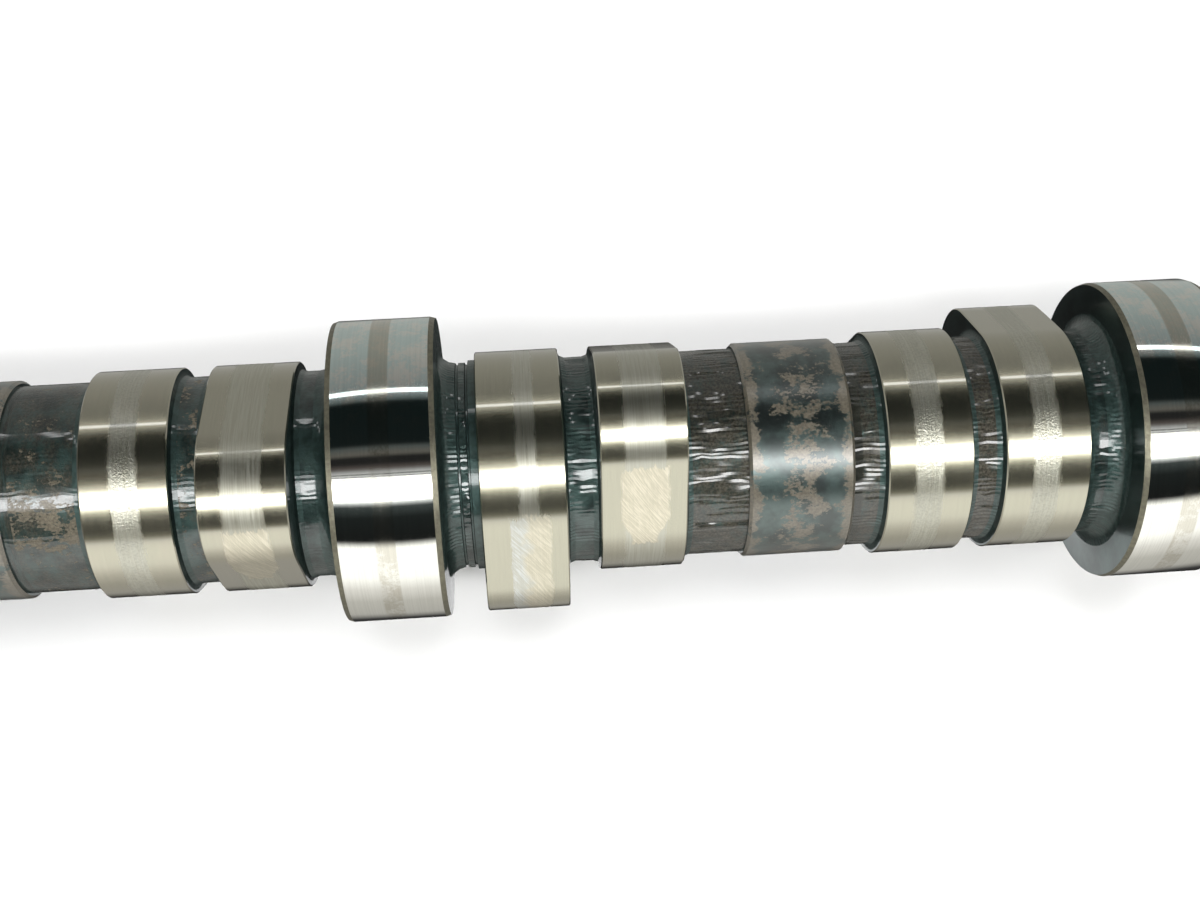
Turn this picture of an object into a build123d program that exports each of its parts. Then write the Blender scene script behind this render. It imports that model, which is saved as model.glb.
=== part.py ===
from build123d import *
import math
import os

# Camshaft of a gear-driven V8 diesel engine, cast and ground in one piece.
# The shaft lies along X with its front, gear end towards +X, and its origin is the
# centre of the front journal. Nose angles are measured from +Z towards +Y.

# Shaft and journals
JOURNAL_COUNT = 5
JOURNAL_PITCH = 134.6
JOURNAL_RADIUS = 26.67
JOURNAL_WIDTH = 17.8
JOURNAL_RIM_DROP = 0.3
JOURNAL_RIM_WIDTH = 0.9
JOURNAL_ROOT = 3.0
JOURNAL_ROOT_FLAT_COUNT = 2
SHAFT_RADIUS = 18.2

# Lobes
BASE_CIRCLE_RADIUS = 19.95
LOBE_LIFT = 6.6
NOSE_RADIUS = 12.9
FLANK_RADIUS = 400.0
LOBE_WIDTH = 14.6
LOBE_ROOT = 1.2
LOBE_ROOT_FLAT_COUNT = 1
INNER_LOBE_OFFSET = 24.45
OUTER_LOBE_OFFSET = 44.65

# Timing: the cylinder that fires next has its lobes one step further round
FIRING_ORDER = (1, 2, 7, 3, 4, 5, 6, 8)
FIRING_STEP = 360.0 / len(FIRING_ORDER)
BANK_ANGLE = 90.0
LOBE_SEPARATION = 103.0
FIRST_INTAKE_ANGLE = -108.6

# Plain collar in each bay, rear bay first, and the narrow shoulder behind its rear lobe
COLLAR_RADIUS = 19.15
COLLAR_WIDTH = 18.0
COLLAR_RIM = 0.5
COLLAR_OFFSETS = (-5.4, 2.6, 2.6, 2.6)
SHOULDER_HEIGHT = 0.4
SHOULDER_WIDTH = 1.25

# Gear seat, key slot and bolt hole at the front end
GEAR_SEAT_RADIUS = 16.0
GEAR_SEAT_LENGTH = 27.0
GEAR_SEAT_LEAD_IN = 1.2
GEAR_SEAT_ROOT = 0.8
KEY_WIDTH = 6.35
KEY_DEPTH = 3.2
KEY_LENGTH = 19.0
BOLT_HOLE_RADIUS = 5.15
BOLT_HOLE_DEPTH = 34.0
BOLT_HOLE_SINK = 6.6

# Centre hole in the rear face
CENTRE_HOLE_RADIUS = 2.5
CENTRE_HOLE_DEPTH = 11.0
CENTRE_HOLE_SINK = 5.5
CENTRE_ANGLE = 60.0

# Outline points nearer to each other than this are one point
SAME_POINT = 0.001

REAR_JOURNAL_X = -(JOURNAL_COUNT - 1) * JOURNAL_PITCH
REAR_FACE_X = REAR_JOURNAL_X - JOURNAL_WIDTH / 2
THRUST_FACE_X = JOURNAL_WIDTH / 2
FRONT_END_X = THRUST_FACE_X + GEAR_SEAT_LENGTH
BAY_CENTRES = [REAR_JOURNAL_X + (bay + 0.5) * JOURNAL_PITCH for bay in range(JOURNAL_COUNT - 1)]


def nose_angle(cylinder, valve):
    """Angle of a lobe's nose: the firing order sets the step, and even cylinders are on the other bank."""
    angle = FIRST_INTAKE_ANGLE + FIRING_STEP * FIRING_ORDER.index(cylinder)
    if cylinder % 2 == 0:
        angle += BANK_ANGLE
    if valve == "exhaust":
        angle -= LOBE_SEPARATION
    return angle


def lobe_places():
    """Centre and nose angle of every lobe, each bay serving one cylinder of each bank."""
    places = []
    for bay, centre in enumerate(BAY_CENTRES):
        even = 2 * (len(BAY_CENTRES) - bay)
        odd = even - 1
        places.append((centre - OUTER_LOBE_OFFSET, nose_angle(even, "intake")))
        places.append((centre - INNER_LOBE_OFFSET, nose_angle(odd, "exhaust")))
        places.append((centre + INNER_LOBE_OFFSET, nose_angle(even, "exhaust")))
        places.append((centre + OUTER_LOBE_OFFSET, nose_angle(odd, "intake")))
    return places


def root_points(face, outward, root, flat_count):
    """Flats that round the corner between the shaft and a face, from the shaft up."""
    turns = [math.pi / 2 * step / flat_count for step in range(flat_count + 1)]
    return [
        (face + outward * root * (1 - math.sin(turn)), SHAFT_RADIUS + root * (1 - math.cos(turn)))
        for turn in turns
    ]


def bevelled_rim(low, high, radius, rim_drop, rim_width):
    """Outline of a ring's land with a bevel on each rim, from rear to front."""
    return [
        (low, radius - rim_drop),
        (low + rim_width, radius),
        (high - rim_width, radius),
        (high, radius - rim_drop),
    ]


def journal_land(centre):
    """Outline of a bearing journal's land and rims."""
    low, high = centre - JOURNAL_WIDTH / 2, centre + JOURNAL_WIDTH / 2
    return bevelled_rim(low, high, JOURNAL_RADIUS, JOURNAL_RIM_DROP, JOURNAL_RIM_WIDTH)


def journal_root(face, outward):
    """Outline of a journal's rounded root, from the shaft up."""
    return root_points(face, outward, JOURNAL_ROOT, JOURNAL_ROOT_FLAT_COUNT)


def collar_ring(centre):
    """Outline of a plain collar, which stands square on the shaft."""
    low, high = centre - COLLAR_WIDTH / 2, centre + COLLAR_WIDTH / 2
    land = bevelled_rim(low, high, COLLAR_RADIUS, COLLAR_RIM, COLLAR_RIM)
    return [(low, SHAFT_RADIUS)] + land + [(high, SHAFT_RADIUS)]


def shoulder_step(front):
    """Outline of the narrow shoulder that ends at a lobe's rear face."""
    top = SHAFT_RADIUS + SHOULDER_HEIGHT
    return [(front - SHOULDER_WIDTH, SHAFT_RADIUS), (front - SHOULDER_WIDTH, top), (front, top)]


def lobe_root(face, outward):
    """Outline of a lobe's rounded root, from the shaft up."""
    return root_points(face, outward, LOBE_ROOT, LOBE_ROOT_FLAT_COUNT)


def lobe_seat(centre, on_shoulder=False):
    """Outline of the low ring inside a lobe, with the rounded roots or the shoulder that it meets."""
    low, high = centre - LOBE_WIDTH / 2, centre + LOBE_WIDTH / 2
    rear_foot = shoulder_step(low) if on_shoulder else lobe_root(low, -1)
    seat_radius = SHAFT_RADIUS + LOBE_ROOT
    front_foot = lobe_root(high, 1)[::-1]
    return rear_foot + [(low, seat_radius), (high, seat_radius)] + front_foot


def bay_outline(centre, collar_offset):
    """Outline between two journals: their roots, four lobe seats and the plain collar."""
    rear_journal_face = centre - JOURNAL_PITCH / 2 + JOURNAL_WIDTH / 2
    front_journal_face = centre + JOURNAL_PITCH / 2 - JOURNAL_WIDTH / 2
    return (
        journal_root(rear_journal_face, 1)[::-1]
        + lobe_seat(centre - OUTER_LOBE_OFFSET, on_shoulder=True)
        + lobe_seat(centre - INNER_LOBE_OFFSET)
        + collar_ring(centre + collar_offset)
        + lobe_seat(centre + INNER_LOBE_OFFSET)
        + lobe_seat(centre + OUTER_LOBE_OFFSET)
        + journal_root(front_journal_face, -1)
    )


def gear_seat_outline():
    """Outline of the gear seat, from its root in the thrust face to its end."""
    return [
        (THRUST_FACE_X, GEAR_SEAT_RADIUS + GEAR_SEAT_ROOT),
        (THRUST_FACE_X + GEAR_SEAT_ROOT, GEAR_SEAT_RADIUS),
        (FRONT_END_X - GEAR_SEAT_LEAD_IN, GEAR_SEAT_RADIUS),
        (FRONT_END_X, GEAR_SEAT_RADIUS - GEAR_SEAT_LEAD_IN),
    ]


def shaft_outline():
    """Half section of all that is turned, from the rear face's centre to the front end's."""
    outline = [(REAR_FACE_X, 0)] + journal_land(REAR_JOURNAL_X)
    for centre, collar_offset in zip(BAY_CENTRES, COLLAR_OFFSETS):
        outline += bay_outline(centre, collar_offset)
        outline += journal_land(centre + JOURNAL_PITCH / 2)
    return without_repeats(outline + gear_seat_outline() + [(FRONT_END_X, 0)])


def without_repeats(points):
    """The same points, less each one that lies on the one before it."""
    kept = points[:1]
    for point in points[1:]:
        if math.dist(point, kept[-1]) > SAME_POINT:
            kept.append(point)
    return kept


# One lobe, nose up: base circle and nose circle joined by two large flank arcs
nose_centre = BASE_CIRCLE_RADIUS + LOBE_LIFT - NOSE_RADIUS
base_reach = FLANK_RADIUS - BASE_CIRCLE_RADIUS
nose_reach = FLANK_RADIUS - NOSE_RADIUS
flank_along = (base_reach**2 - nose_reach**2 + nose_centre**2) / (2 * nose_centre)
flank_across = math.sqrt(base_reach**2 - flank_along**2)
base_tangent = math.degrees(math.atan2(flank_across, -flank_along))
nose_tangent = math.degrees(math.atan2(flank_across, nose_centre - flank_along))

with BuildPart() as lobe:
    with BuildSketch(Plane(origin=(0, 0, 0), x_dir=(0, 0, 1), z_dir=(1, 0, 0))):
        with BuildLine():
            CenterArc((nose_centre, 0), NOSE_RADIUS, -nose_tangent, 2 * nose_tangent)
            CenterArc((flank_along, -flank_across), FLANK_RADIUS, nose_tangent, base_tangent - nose_tangent)
            CenterArc((0, 0), BASE_CIRCLE_RADIUS, base_tangent, 360 - 2 * base_tangent)
            CenterArc((flank_along, flank_across), FLANK_RADIUS, -base_tangent, base_tangent - nose_tangent)
        make_face()
    extrude(amount=LOBE_WIDTH / 2, both=True)

with BuildPart() as camshaft:
    # Everything that is turned, in one revolve
    with BuildSketch(Plane.XZ):
        with BuildLine():
            Polyline(*shaft_outline(), close=True)
        make_face()
    revolve(axis=Axis.X)

    # Ground lobes
    for centre, angle in lobe_places():
        with Locations(Location((centre, 0, 0), (-angle, 0, 0))):
            add(lobe.part)

    # Key slot, open at the front end, and the bolt hole
    with BuildSketch(Plane.XY.offset(GEAR_SEAT_RADIUS - KEY_DEPTH)):
        with Locations((FRONT_END_X, 0)):
            Rectangle(KEY_LENGTH * 2 - KEY_WIDTH, KEY_WIDTH)
        with Locations((FRONT_END_X - KEY_LENGTH + KEY_WIDTH / 2, 0)):
            Circle(KEY_WIDTH / 2)
    extrude(amount=KEY_DEPTH * 2, mode=Mode.SUBTRACT)
    with Locations(Plane.YZ.offset(FRONT_END_X)):
        CounterSinkHole(BOLT_HOLE_RADIUS, BOLT_HOLE_SINK, BOLT_HOLE_DEPTH, CENTRE_ANGLE)

    # Centre hole that the shaft was ground on
    with Locations(Plane(origin=(REAR_FACE_X, 0, 0), z_dir=(-1, 0, 0))):
        CounterSinkHole(CENTRE_HOLE_RADIUS, CENTRE_HOLE_SINK, CENTRE_HOLE_DEPTH, CENTRE_ANGLE)

camshaft.part.label = "camshaft"
os.makedirs("parts", exist_ok=True)
export_step(camshaft.part, "parts/camshaft.step")
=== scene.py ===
import math
import random

import bpy
import numpy as np
from bpy.props import FloatProperty, FloatVectorProperty, IntProperty, PointerProperty
from mathutils.kdtree import KDTree
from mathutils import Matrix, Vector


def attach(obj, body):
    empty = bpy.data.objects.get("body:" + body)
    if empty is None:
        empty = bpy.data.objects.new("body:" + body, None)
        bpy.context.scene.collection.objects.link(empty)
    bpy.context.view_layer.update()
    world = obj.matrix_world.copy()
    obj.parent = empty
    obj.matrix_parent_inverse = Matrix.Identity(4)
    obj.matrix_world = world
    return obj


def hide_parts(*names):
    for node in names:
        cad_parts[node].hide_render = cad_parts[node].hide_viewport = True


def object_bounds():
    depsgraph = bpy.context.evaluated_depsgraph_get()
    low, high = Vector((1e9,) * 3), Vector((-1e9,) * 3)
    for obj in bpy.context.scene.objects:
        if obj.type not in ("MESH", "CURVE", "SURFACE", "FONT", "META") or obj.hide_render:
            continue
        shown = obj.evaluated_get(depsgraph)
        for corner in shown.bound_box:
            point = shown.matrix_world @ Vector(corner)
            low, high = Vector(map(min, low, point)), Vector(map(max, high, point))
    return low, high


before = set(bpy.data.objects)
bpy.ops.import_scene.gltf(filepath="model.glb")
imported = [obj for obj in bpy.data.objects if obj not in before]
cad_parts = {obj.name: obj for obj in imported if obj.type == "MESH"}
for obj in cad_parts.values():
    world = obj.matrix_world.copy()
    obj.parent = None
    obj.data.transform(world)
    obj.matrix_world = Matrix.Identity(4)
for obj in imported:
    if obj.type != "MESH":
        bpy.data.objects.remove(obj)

bl_info = {
    "name": "Ground camshaft",
    "version": (1, 0, 0),
    "blender": (4, 5, 0),
    "location": "3D View > Sidebar > Camshaft",
    "description": "Builds the skin and finishes of a V8 camshaft round its packed solid",
    "category": "Mesh",
}

MM = 0.001
BODY = "root"
CAD_NODE = "camshaft"
CAD_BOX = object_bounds()

JOURNAL_COUNT = 5
BAY_COUNT = JOURNAL_COUNT - 1
FIRING_ORDER = (1, 2, 7, 3, 4, 5, 6, 8)
FIRING_STEP = 360.0 / len(FIRING_ORDER)
BANK_ANGLE = 90.0

# Finishes of the skin, in the order of its material slots
LOBE, JOURNAL, RIM, CASTING, COLLAR, ROOT, FACE, END = range(8)

# Vertex attributes that the finishes read
PLACE = "place"      # across the width from -1 to 1, then cosine and sine of the turn from the nose
TRACK = "track"      # centre and half width of the wear track in the same measure, then how dull it is
MARKS = "marks"      # seed, then a lobe's scuffed patch and stain or the shaft's brown film and flakes
PATCH = "patch"      # turn and half turn that a patch covers, then a lobe's half width or the shaft's
                     # added flakes

SEED = 7
RAW_STEP = 1.7 * MM
ROOT_STEP = 1.0 * MM                        # coarsest step of a rounded root
SEAT_ROOT_STEPS = 3
KEY_END_STEPS = 24
SINK_HALF_ANGLE = math.radians(30.0)        # of the countersinks of both holes
SHARP_ANGLE = math.radians(32.0)
RIDGE_STRENGTH = (0.15, 0.75, 0.7, 0.75)    # in each bay, rear bay first
RIDGE_SHARE, RIDGE_DRIFT = 0.45, 1.5        # mean share of a ridge's height, and how far it drifts
RIDGE_MEMORY = 0.75                         # how much of a ridge's drift the next ring keeps
RIDGE_WANDER = 0.8                          # how far a ridge wanders sideways, in half ridges
RIDGE_LINE = 0.5                            # least share of an edge's length that runs along the shaft

# Wear of the lobes: track centre, half width and dullness, then scuffed patch and stain.
# Other lobes draw theirs from the ranges below.
LOBE_WEAR = {
    "8_exhaust": (0.0, 0.33, 0.55, 0.0, 1.0),
    "7_intake": (0.0, 0.48, 1.0, 0.9, 0.8),
    "6_intake": (0.12, 0.25, 0.35, 0.8, 0.2),
    "5_exhaust": (0.02, 0.49, 0.45, 1.0, 0.2),
    "6_exhaust": (-0.04, 0.35, 0.75, 0.0, 0.3),
    "5_intake": (-0.04, 0.33, 0.75, 0.0, 0.3),
}
WEAR_RANGES = ((-0.12, 0.12), (0.26, 0.48), (0.35, 0.9), (0.4, 1.0), (0.2, 0.9))
# Scuffed patches: turn from the nose and half turn in degrees, then half width. Other lobes draw the
# turn from a range, on either side of the nose.
LOBE_PATCHES = {
    "7_intake": (-30.0, 20.0, 0.55),
    "6_intake": (30.0, 42.0, 0.50),
    "5_exhaust": (-50.0, 22.0, 0.58),
}
PATCH_TURNS, DRAWN_PATCH = (36.0, 52.0), (22.0, 0.6)
# Raw shaft: cover of the brown film and of the flakes, by bay and by gap from the rear
SHAFT_WEAR = {
    (0, 3): (0.46, 0.40), (0, 4): (0.40, 0.44), (0, 5): (0.20, 0.10),
    (1, 0): (0.30, 0.10), (1, 1): (0.25, 0.10), (1, 2): (0.56, 0.25), (1, 3): (0.56, 0.28),
    (1, 4): (0.62, 0.30), (1, 5): (0.36, 0.10),
}
FILM_RANGE, FLAKE_RANGE = (0.25, 0.6), (0.1, 0.45)
# Thicker flakes on one side of a gap: turn from +Z and half turn in degrees, then added cover
SHAFT_PATCHES = {(0, 3): (-28.0, 26.0, 0.11)}
SEED_RANGE = (1.0, 90.0)
JOURNAL_TRACK = (-0.03, 0.21, 1.0)          # brown stripe of a journal: centre, half width and strength

# Soft boxes seen by the steel: angle from +Z towards +Y in degrees, light, red, green and blue share
SKY = (
    (-180, 0.01, (1.0, 1.0, 1.0)), (-165, 0.05, (1.0, 1.0, 1.0)), (-150, 0.42, (1.0, 0.98, 0.92)),
    (-127, 0.50, (1.0, 0.98, 0.92)), (-111, 0.76, (1.0, 0.98, 0.94)), (-97, 1.2, (1.0, 1.0, 0.97)),
    (-69.5, 1.3, (1.0, 1.0, 0.97)), (-64, 0.01, (0.9, 1.0, 1.0)),
    (-45, 0.015, (0.8, 1.0, 1.0)), (-36, 0.055, (0.8, 1.0, 1.0)), (-32.5, 1.0, (0.95, 0.99, 1.0)),
    (-29, 9.0, (1.0, 1.0, 1.0)), (-21, 9.0, (1.0, 1.0, 1.0)), (-14, 0.75, (0.97, 0.99, 1.0)),
    (-10, 0.32, (0.97, 0.99, 1.0)), (-8, 0.09, (1.0, 0.85, 0.8)), (-4, 0.015, (1.0, 1.0, 1.0)),
    (0, 0.015, (1.0, 1.0, 1.0)), (3, 0.11, (1.0, 0.95, 0.85)), (7, 0.08, (0.9, 1.0, 0.97)),
    (10, 0.01, (0.7, 1.0, 1.0)), (42, 0.009, (0.7, 1.0, 0.97)), (45, 0.12, (0.93, 1.0, 0.97)),
    (49.5, 0.25, (1.0, 1.0, 1.0)), (50.5, 3.5, (1.0, 1.0, 1.0)), (52, 3.5, (1.0, 1.0, 1.0)),
    (53, 0.21, (1.0, 1.0, 0.97)), (92, 0.33, (1.0, 1.0, 0.95)), (148, 0.42, (1.0, 1.0, 0.95)),
    (161, 0.02, (1.0, 1.0, 1.0)), (171, 0.03, (1.0, 1.0, 1.0)), (176, 1.4, (1.0, 1.0, 1.0)),
)
# Thin dark rungs across the edge of the brightest box: middle, half width and step in degrees
RUNGS, RUNG_STEP = (-15.5, 4.5), 1.8
RUNG_EDGE, RUNG_FADE, RUNG_DARKNESS = 0.6, 0.8, 0.95
# Plain light past the ends of the shaft: where it starts and is full, along the shaft, and its colour
END_LIGHT_RANGE, END_LIGHT = (0.75, 0.95), (0.5, 0.5, 0.48)
BACKDROP_SIDES, BACKDROP_SHARE = 48, 0.95   # the backdrop's radius is a share of half the floor
CAMERA_CLIP = 10 * MM


class CamshaftSizes(bpy.types.PropertyGroup):
    """Sizes of the shaft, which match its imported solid."""

    journal_pitch: FloatProperty(
        name="Journal pitch", description="From one journal's centre to the next",
        default=134.6 * MM, precision=5, unit="LENGTH")
    journal_radius: FloatProperty(
        name="Journal radius", description="Radius of the bearing journals",
        default=26.67 * MM, precision=5, unit="LENGTH")
    journal_width: FloatProperty(
        name="Journal width", description="Width of a journal from face to face",
        default=17.8 * MM, precision=5, unit="LENGTH")
    journal_rim_drop: FloatProperty(
        name="Journal rim drop", description="How far a journal's rims fall below its land",
        default=0.3 * MM, precision=5, unit="LENGTH")
    journal_rim_width: FloatProperty(
        name="Journal rim width", description="Width of the bevel on each rim of a journal",
        default=0.9 * MM, precision=5, unit="LENGTH")
    journal_root: FloatProperty(
        name="Journal root", description="Radius of the root between a journal and the shaft",
        default=3.0 * MM, precision=5, unit="LENGTH")
    shaft_radius: FloatProperty(
        name="Shaft radius", description="Radius of the raw shaft",
        default=18.2 * MM, precision=5, unit="LENGTH")
    base_circle_radius: FloatProperty(
        name="Base circle radius", description="Radius of a lobe's round heel",
        default=19.95 * MM, precision=5, unit="LENGTH")
    lobe_lift: FloatProperty(
        name="Lobe lift", description="How far the nose stands above the base circle",
        default=6.6 * MM, precision=5, unit="LENGTH")
    nose_radius: FloatProperty(
        name="Nose radius", description="Radius of a lobe's nose",
        default=12.9 * MM, precision=5, unit="LENGTH")
    flank_radius: FloatProperty(
        name="Flank radius", description="Radius of the arcs that join heel and nose",
        default=400.0 * MM, precision=5, unit="LENGTH")
    lobe_width: FloatProperty(
        name="Lobe width", description="Width of a lobe from face to face",
        default=14.6 * MM, precision=5, unit="LENGTH")
    lobe_root: FloatProperty(
        name="Lobe root", description="Radius of the root between a lobe and the shaft",
        default=1.2 * MM, precision=5, unit="LENGTH")
    lobe_edge: FloatProperty(
        name="Lobe edge", description="Width of the broken edge round a lobe's land",
        default=0.2 * MM, precision=5, unit="LENGTH")
    inner_lobe_offset: FloatProperty(
        name="Inner lobe offset", description="From a bay's centre to its inner lobes",
        default=24.45 * MM, precision=5, unit="LENGTH")
    outer_lobe_offset: FloatProperty(
        name="Outer lobe offset", description="From a bay's centre to its outer lobes",
        default=44.65 * MM, precision=5, unit="LENGTH")
    lobe_separation: FloatProperty(
        name="Lobe separation", description="Angle between the noses of one cylinder's lobes",
        default=math.radians(103.0), unit="ROTATION")
    first_intake_angle: FloatProperty(
        name="First intake angle", description="Nose angle of cylinder 1's intake lobe",
        default=math.radians(-108.6), unit="ROTATION")
    collar_radius: FloatProperty(
        name="Collar radius", description="Radius of the plain collar in each bay",
        default=19.15 * MM, precision=5, unit="LENGTH")
    collar_width: FloatProperty(
        name="Collar width", description="Width of the plain collar in each bay",
        default=18.0 * MM, precision=5, unit="LENGTH")
    collar_rim: FloatProperty(
        name="Collar rim", description="Bevel on each rim of a collar",
        default=0.5 * MM, precision=5, unit="LENGTH")
    rear_collar_offset: FloatProperty(
        name="Rear collar offset", description="Place of the rear bay's collar from its centre",
        default=-5.4 * MM, precision=5, unit="LENGTH")
    collar_offset: FloatProperty(
        name="Collar offset", description="Place of the other collars from their bay's centre",
        default=2.6 * MM, precision=5, unit="LENGTH")
    shoulder_height: FloatProperty(
        name="Shoulder height", description="Height of the step behind each bay's rear lobe",
        default=0.4 * MM, precision=5, unit="LENGTH")
    shoulder_width: FloatProperty(
        name="Shoulder width", description="Width of the step behind each bay's rear lobe",
        default=1.25 * MM, precision=5, unit="LENGTH")
    groove_depth: FloatProperty(
        name="Groove depth", description="Depth of the two thin grooves behind each bay's rear lobe",
        default=0.35 * MM, precision=5, unit="LENGTH")
    groove_width: FloatProperty(
        name="Groove width", description="Width of the two thin grooves behind each bay's rear lobe",
        default=0.55 * MM, precision=5, unit="LENGTH")
    seat_radius: FloatProperty(
        name="Gear seat radius", description="Radius of the seat of the timing gear",
        default=16.0 * MM, precision=5, unit="LENGTH")
    seat_length: FloatProperty(
        name="Gear seat length", description="Length of the seat of the timing gear",
        default=27.0 * MM, precision=5, unit="LENGTH")
    seat_lead_in: FloatProperty(
        name="Gear seat lead-in", description="Bevel at the end of the gear seat",
        default=1.2 * MM, precision=5, unit="LENGTH")
    seat_root: FloatProperty(
        name="Gear seat root", description="Root between the gear seat and the thrust face",
        default=0.8 * MM, precision=5, unit="LENGTH")
    key_width: FloatProperty(
        name="Key width", description="Width of the key slot",
        default=6.35 * MM, precision=5, unit="LENGTH")
    key_depth: FloatProperty(
        name="Key depth", description="Depth of the key slot",
        default=3.2 * MM, precision=5, unit="LENGTH")
    key_length: FloatProperty(
        name="Key length", description="Length of the key slot from the front end",
        default=19.0 * MM, precision=5, unit="LENGTH")
    bolt_hole_radius: FloatProperty(
        name="Bolt hole radius", description="Radius of the hole for the gear's bolt",
        default=5.15 * MM, precision=5, unit="LENGTH")
    bolt_hole_depth: FloatProperty(
        name="Bolt hole depth", description="Depth of the hole for the gear's bolt",
        default=34.0 * MM, precision=5, unit="LENGTH")
    bolt_hole_sink: FloatProperty(
        name="Bolt hole sink", description="Radius of the bolt hole's countersink",
        default=6.6 * MM, precision=5, unit="LENGTH")
    centre_hole_radius: FloatProperty(
        name="Centre hole radius", description="Radius of the hole in the rear face",
        default=2.5 * MM, precision=5, unit="LENGTH")
    centre_hole_depth: FloatProperty(
        name="Centre hole depth", description="Depth of the hole in the rear face",
        default=11.0 * MM, precision=5, unit="LENGTH")
    centre_hole_sink: FloatProperty(
        name="Centre hole sink", description="Radius of the centre hole's countersink",
        default=5.5 * MM, precision=5, unit="LENGTH")
    ridge_count: IntProperty(
        name="Ridges", description="Fine ridges along the raw shaft, counted round it",
        default=144, min=12)
    ridge_height: FloatProperty(
        name="Ridge height", description="Height of a ridge at full strength, before it drifts",
        default=0.1 * MM, precision=6, unit="LENGTH")


class CamshaftFinish(bpy.types.PropertyGroup):
    """Colours of the shaft's finishes."""

    lobe_steel: FloatVectorProperty(
        name="Lobe steel", description="Ground steel of the lobes",
        subtype="COLOR", default=(0.47, 0.45, 0.33), min=0, max=1)
    journal_steel: FloatVectorProperty(
        name="Journal steel", description="Polished steel of the journals",
        subtype="COLOR", default=(0.93, 0.93, 0.87), min=0, max=1)
    worn_steel: FloatVectorProperty(
        name="Worn steel", description="Scratched steel in the wear tracks",
        subtype="COLOR", default=(0.69, 0.70, 0.63), min=0, max=1)
    scuffed_steel: FloatVectorProperty(
        name="Scuffed steel", description="Bright scuffed patches on the lobes' flanks",
        subtype="COLOR", default=(0.90, 0.84, 0.69), min=0, max=1)
    cool_scuff: FloatVectorProperty(
        name="Cool scuff", description="Blue-white side of the longest scuffed patches",
        subtype="COLOR", default=(0.84, 0.87, 0.87), min=0, max=1)
    stain: FloatVectorProperty(
        name="Stain", description="Brown film on ground steel",
        subtype="COLOR", default=(0.50, 0.45, 0.34), min=0, max=1)
    # Darker blue film that the journals get only on their upper side: partly a tint, partly painted shade
    blue_film_and_top_shade: FloatVectorProperty(
        name="Blue film and top shade", description="Blue film on polished steel",
        subtype="COLOR", default=(0.68, 0.86, 0.86), min=0, max=1)
    oxide: FloatVectorProperty(
        name="Oxide", description="Dark green-blue oxide of the raw casting",
        subtype="COLOR", default=(0.060, 0.098, 0.090), min=0, max=1)
    brown_film: FloatVectorProperty(
        name="Brown film", description="Brown oil film on the raw casting",
        subtype="COLOR", default=(0.115, 0.106, 0.082), min=0, max=1)
    varnish: FloatVectorProperty(
        name="Varnish", description="Tan flakes of baked oil",
        subtype="COLOR", default=(0.165, 0.145, 0.105), min=0, max=1)


class CamshaftStage(bpy.types.PropertyGroup):
    """Camera, lamps and floor."""

    camera_place: FloatVectorProperty(
        name="Camera place", description="Where the camera stands",
        subtype="XYZ", unit="LENGTH", precision=5,
        default=(-381.557 * MM, -43.977 * MM, 273.946 * MM))
    camera_turn: FloatVectorProperty(
        name="Camera turn", description="How the camera is turned from looking straight down",
        subtype="EULER", unit="ROTATION", precision=5,
        default=tuple(math.radians(angle) for angle in (9.5538, -2.4376, -3.6534)))
    lens: FloatProperty(
        name="Lens", description="Focal length on a 36 mm sensor",
        default=46.455, subtype="DISTANCE_CAMERA")
    floor_colour: FloatVectorProperty(
        name="Floor colour", description="Pale floor",
        subtype="COLOR", default=(0.755, 0.755, 0.755), min=0, max=1)
    floor_glow: FloatProperty(
        name="Floor glow", description="Light that the floor adds towards the camera",
        default=0.03, min=0)
    floor_size: FloatProperty(
        name="Floor size", description="Side of the square floor",
        default=60.0, unit="LENGTH")
    backdrop_height: FloatProperty(
        name="Backdrop height", description="Height of the white backdrop round the floor",
        default=12.0, unit="LENGTH")
    lamp_strength: FloatProperty(
        name="Lamp strength", description="Light of the broad lamp that casts the shadow",
        default=2.8, min=0)
    lamp_tilt: FloatProperty(
        name="Lamp tilt", description="Tilt of the broad lamp from straight above",
        default=math.radians(18.5), unit="ROTATION")
    lamp_spread: FloatProperty(
        name="Lamp spread", description="How wide the broad lamp looks from the shaft",
        default=math.radians(35.0), unit="ROTATION")


# ---------------------------------------------------------------- form of the shaft


def nose_angle(sizes, cylinder, exhaust):
    """Angle of a lobe's nose from +Z towards +Y, in radians."""
    angle = sizes.first_intake_angle + math.radians(FIRING_STEP * FIRING_ORDER.index(cylinder))
    if cylinder % 2 == 0:
        angle += math.radians(BANK_ANGLE)
    return angle - sizes.lobe_separation if exhaust else angle


def bay_centres(sizes):
    """Places along the shaft of the middles of the bays, rear bay first."""
    rear = -BAY_COUNT * sizes.journal_pitch
    return [rear + (bay + 0.5) * sizes.journal_pitch for bay in range(BAY_COUNT)]


def bay_lobes(sizes, bay, centre):
    """Centre, nose angle and name of the four lobes of one bay, from the rear."""
    even = 2 * (BAY_COUNT - bay)
    odd = even - 1
    return [
        (centre - sizes.outer_lobe_offset, nose_angle(sizes, even, False), f"{even}_intake"),
        (centre - sizes.inner_lobe_offset, nose_angle(sizes, odd, True), f"{odd}_exhaust"),
        (centre + sizes.inner_lobe_offset, nose_angle(sizes, even, True), f"{even}_exhaust"),
        (centre + sizes.outer_lobe_offset, nose_angle(sizes, odd, False), f"{odd}_intake"),
    ]


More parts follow.
